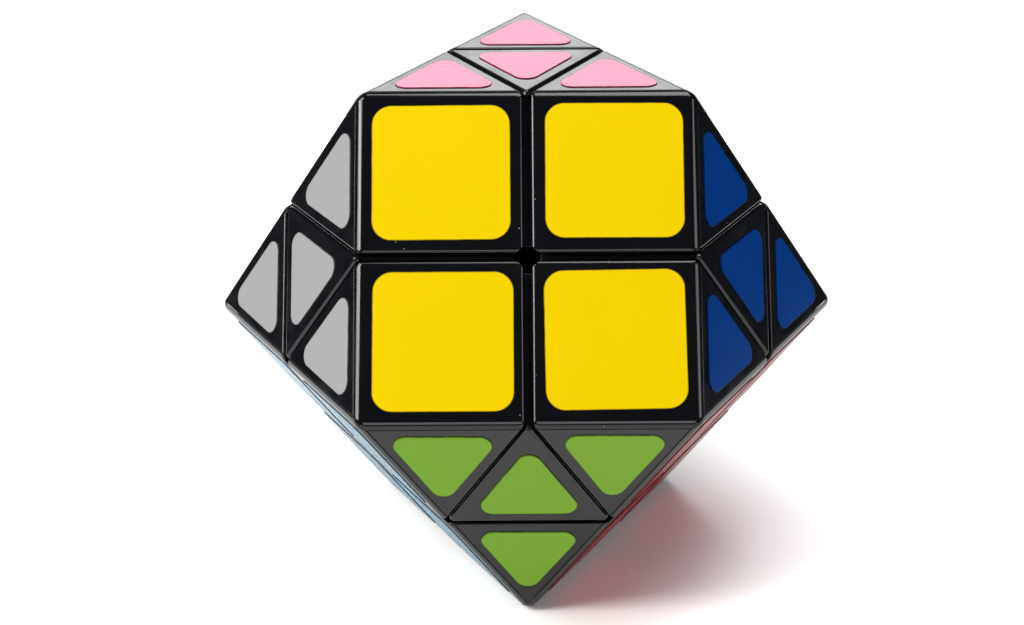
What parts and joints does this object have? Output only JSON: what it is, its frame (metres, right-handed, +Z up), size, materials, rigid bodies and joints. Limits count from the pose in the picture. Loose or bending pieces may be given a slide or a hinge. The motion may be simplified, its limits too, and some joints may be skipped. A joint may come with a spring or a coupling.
{
  "type": "cuboctahedral twisty puzzle",
  "caption": "Hand-held twisty puzzle: a cuboctahedron of hollow corner pieces and sprung triangular centres on a screwed core, with layers that turn under each triangular face.",
  "frame": {"origin": "centre of the puzzle, where the layer axes meet", "axes": "+Z up through the upper triangular face, -Y towards the front, where a square face leans back above a triangular one; the puzzle rests on the lower triangular face"},
  "size_m": [0.0918, 0.0796, 0.0754],
  "materials": {
    "shell": "gloss black moulded plastic",
    "core_plastic": "natural white moulded plastic",
    "steel": "bright zinc plated",
    "spring_steel": "drawn wire",
    "sticker_yellow": "semi-gloss yellow vinyl",
    "sticker_dark_green": "semi-gloss dark green vinyl",
    "sticker_brown": "semi-gloss brown vinyl",
    "sticker_light_blue": "semi-gloss light blue vinyl",
    "sticker_teal": "semi-gloss teal vinyl",
    "sticker_red": "semi-gloss red vinyl",
    "sticker_pink": "semi-gloss pink vinyl",
    "sticker_white": "semi-gloss white vinyl",
    "sticker_green": "semi-gloss green vinyl",
    "sticker_orange": "semi-gloss orange vinyl",
    "sticker_purple": "semi-gloss purple vinyl",
    "sticker_salmon": "semi-gloss salmon vinyl",
    "sticker_grey": "semi-gloss grey vinyl",
    "sticker_dark_blue": "semi-gloss dark blue vinyl"
  },
  "bodies": {
    "core": {"core": "core_plastic", "screws": "steel", "springs": "spring_steel", "washers": "steel"},
    "centre_top": {"centre_top": "shell", "centre_top_sticker": "sticker_pink"},
    "centre_bottom": {"centre_bottom": "shell", "centre_bottom_sticker": "sticker_white"},
    "centre_front_low": {"centre_front_low": "shell", "centre_front_low_sticker": "sticker_green"},
    "centre_right_back_low": {"centre_right_back_low": "shell", "centre_right_back_low_sticker": "sticker_orange"},
    "centre_left_back_low": {"centre_left_back_low": "shell", "centre_left_back_low_sticker": "sticker_purple"},
    "centre_back_high": {"centre_back_high": "shell", "centre_back_high_sticker": "sticker_salmon"},
    "centre_left_high": {"centre_left_high": "shell", "centre_left_high_sticker": "sticker_grey"},
    "centre_right_high": {"centre_right_high": "shell", "centre_right_high_sticker": "sticker_dark_blue"},
    "corner_top_front_left": {"corner_top_front_left": "shell", "corner_top_front_left_caps": "shell", "corner_top_front_left_stickers": "sticker_yellow"},
    "corner_top_front_right": {"corner_top_front_right": "shell", "corner_top_front_right_caps": "shell", "corner_top_front_right_stickers": "sticker_brown"},
    "corner_top_back": {"corner_top_back": "shell", "corner_top_back_caps": "shell", "corner_top_back_stickers": "sticker_brown"},
    "corner_middle_front_left": {"corner_middle_front_left": "shell", "corner_middle_front_left_caps": "shell", "corner_middle_front_left_stickers": "sticker_light_blue"},
    "corner_middle_front_right": {"corner_middle_front_right": "shell", "corner_middle_front_right_caps": "shell", "corner_middle_front_right_stickers": "sticker_yellow"},
    "corner_middle_left": {"corner_middle_left": "shell", "corner_middle_left_caps": "shell", "corner_middle_left_stickers": "sticker_teal"},
    "corner_middle_right": {"corner_middle_right": "shell", "corner_middle_right_caps": "shell", "corner_middle_right_stickers": "sticker_brown"},
    "corner_middle_back_left": {"corner_middle_back_left": "shell", "corner_middle_back_left_caps": "shell", "corner_middle_back_left_stickers": "sticker_teal"},
    "corner_middle_back_right": {"corner_middle_back_right": "shell", "corner_middle_back_right_caps": "shell", "corner_middle_back_right_stickers": "sticker_dark_green"},
    "corner_bottom_front": {"corner_bottom_front": "shell", "corner_bottom_front_caps": "shell", "corner_bottom_front_stickers": "sticker_red"},
    "corner_bottom_back_left": {"corner_bottom_back_left": "shell", "corner_bottom_back_left_caps": "shell", "corner_bottom_back_left_stickers": "sticker_dark_green"},
    "corner_bottom_back_right": {"corner_bottom_back_right": "shell", "corner_bottom_back_right_caps": "shell", "corner_bottom_back_right_stickers": "sticker_red"}
  },
  "joints": [
    {"name": "turn_top", "type": "hinge", "parent": "core", "child": "centre_top", "pos_m": [0, 0, 0], "axis": [0, 0, 1], "continuous": true},
    {"name": "turn_bottom", "type": "hinge", "parent": "core", "child": "centre_bottom", "pos_m": [0, 0, 0], "axis": [0, 0, -1], "continuous": true},
    {"name": "turn_front_low", "type": "hinge", "parent": "core", "child": "centre_front_low", "pos_m": [0, 0, 0], "axis": [0, -0.9428, -0.3333], "range_deg": [-360, 360]},
    {"name": "turn_right_back_low", "type": "hinge", "parent": "core", "child": "centre_right_back_low", "pos_m": [0, 0, 0], "axis": [0.8165, 0.4714, -0.3333], "range_deg": [-360, 360]},
    {"name": "turn_left_back_low", "type": "hinge", "parent": "core", "child": "centre_left_back_low", "pos_m": [0, 0, 0], "axis": [-0.8165, 0.4714, -0.3333], "range_deg": [-360, 360]},
    {"name": "turn_back_high", "type": "hinge", "parent": "core", "child": "centre_back_high", "pos_m": [0, 0, 0], "axis": [0, 0.9428, 0.3333], "range_deg": [-360, 360]},
    {"name": "turn_left_high", "type": "hinge", "parent": "core", "child": "centre_left_high", "pos_m": [0, 0, 0], "axis": [-0.8165, -0.4714, 0.3333], "range_deg": [-360, 360]},
    {"name": "turn_right_high", "type": "hinge", "parent": "core", "child": "centre_right_high", "pos_m": [0, 0, 0], "axis": [0.8165, -0.4714, 0.3333], "range_deg": [-360, 360]},
    {"name": "turn_corner_top_front_left", "type": "hinge", "parent": "centre_top", "child": "corner_top_front_left", "pos_m": [0, 0, 0], "axis": [-0.8165, -0.4714, 0.3333], "range_deg": [-360, 360]},
    {"name": "turn_corner_top_front_right", "type": "hinge", "parent": "centre_top", "child": "corner_top_front_right", "pos_m": [0, 0, 0], "axis": [0.8165, -0.4714, 0.3333], "range_deg": [-360, 360]},
    {"name": "turn_corner_top_back", "type": "hinge", "parent": "centre_top", "child": "corner_top_back", "pos_m": [0, 0, 0], "axis": [0, 0.9428, 0.3333], "range_deg": [-360, 360]},
    {"name": "turn_corner_middle_front_left", "type": "hinge", "parent": "centre_front_low", "child": "corner_middle_front_left", "pos_m": [0, 0, 0], "axis": [-0.8165, -0.4714, 0.3333], "range_deg": [-360, 360]},
    {"name": "turn_corner_middle_front_right", "type": "hinge", "parent": "centre_front_low", "child": "corner_middle_front_right", "pos_m": [0, 0, 0], "axis": [0.8165, -0.4714, 0.3333], "range_deg": [-360, 360]},
    {"name": "turn_corner_middle_left", "type": "hinge", "parent": "centre_left_back_low", "child": "corner_middle_left", "pos_m": [0, 0, 0], "axis": [-0.8165, -0.4714, 0.3333], "range_deg": [-360, 360]},
    {"name": "turn_corner_middle_right", "type": "hinge", "parent": "centre_right_back_low", "child": "corner_middle_right", "pos_m": [0, 0, 0], "axis": [0.8165, -0.4714, 0.3333], "range_deg": [-360, 360]},
    {"name": "turn_corner_middle_back_left", "type": "hinge", "parent": "centre_left_back_low", "child": "corner_middle_back_left", "pos_m": [0, 0, 0], "axis": [0, 0.9428, 0.3333], "range_deg": [-360, 360]},
    {"name": "turn_corner_middle_back_right", "type": "hinge", "parent": "centre_right_back_low", "child": "corner_middle_back_right", "pos_m": [0, 0, 0], "axis": [0, 0.9428, 0.3333], "range_deg": [-360, 360]},
    {"name": "turn_corner_bottom_front", "type": "hinge", "parent": "centre_front_low", "child": "corner_bottom_front", "pos_m": [0, 0, 0], "axis": [0, 0, -1], "continuous": true},
    {"name": "turn_corner_bottom_back_left", "type": "hinge", "parent": "centre_left_back_low", "child": "corner_bottom_back_left", "pos_m": [0, 0, 0], "axis": [0, 0, -1], "continuous": true},
    {"name": "turn_corner_bottom_back_right", "type": "hinge", "parent": "centre_right_back_low", "child": "corner_bottom_back_right", "pos_m": [0, 0, 0], "axis": [0, 0, -1], "continuous": true}
  ],
  "couplings": [
    {"joint": "turn_corner_top_front_left", "follows": "turn_left_high", "ratio": 1},
    {"joint": "turn_corner_top_front_right", "follows": "turn_right_high", "ratio": 1},
    {"joint": "turn_corner_top_back", "follows": "turn_back_high", "ratio": 1},
    {"joint": "turn_corner_middle_front_left", "follows": "turn_left_high", "ratio": 1},
    {"joint": "turn_corner_middle_front_right", "follows": "turn_right_high", "ratio": 1},
    {"joint": "turn_corner_middle_left", "follows": "turn_left_high", "ratio": 1},
    {"joint": "turn_corner_middle_right", "follows": "turn_right_high", "ratio": 1},
    {"joint": "turn_corner_middle_back_left", "follows": "turn_back_high", "ratio": 1},
    {"joint": "turn_corner_middle_back_right", "follows": "turn_back_high", "ratio": 1},
    {"joint": "turn_corner_bottom_front", "follows": "turn_bottom", "ratio": 1},
    {"joint": "turn_corner_bottom_back_left", "follows": "turn_bottom", "ratio": 1},
    {"joint": "turn_corner_bottom_back_right", "follows": "turn_bottom", "ratio": 1}
  ]
}
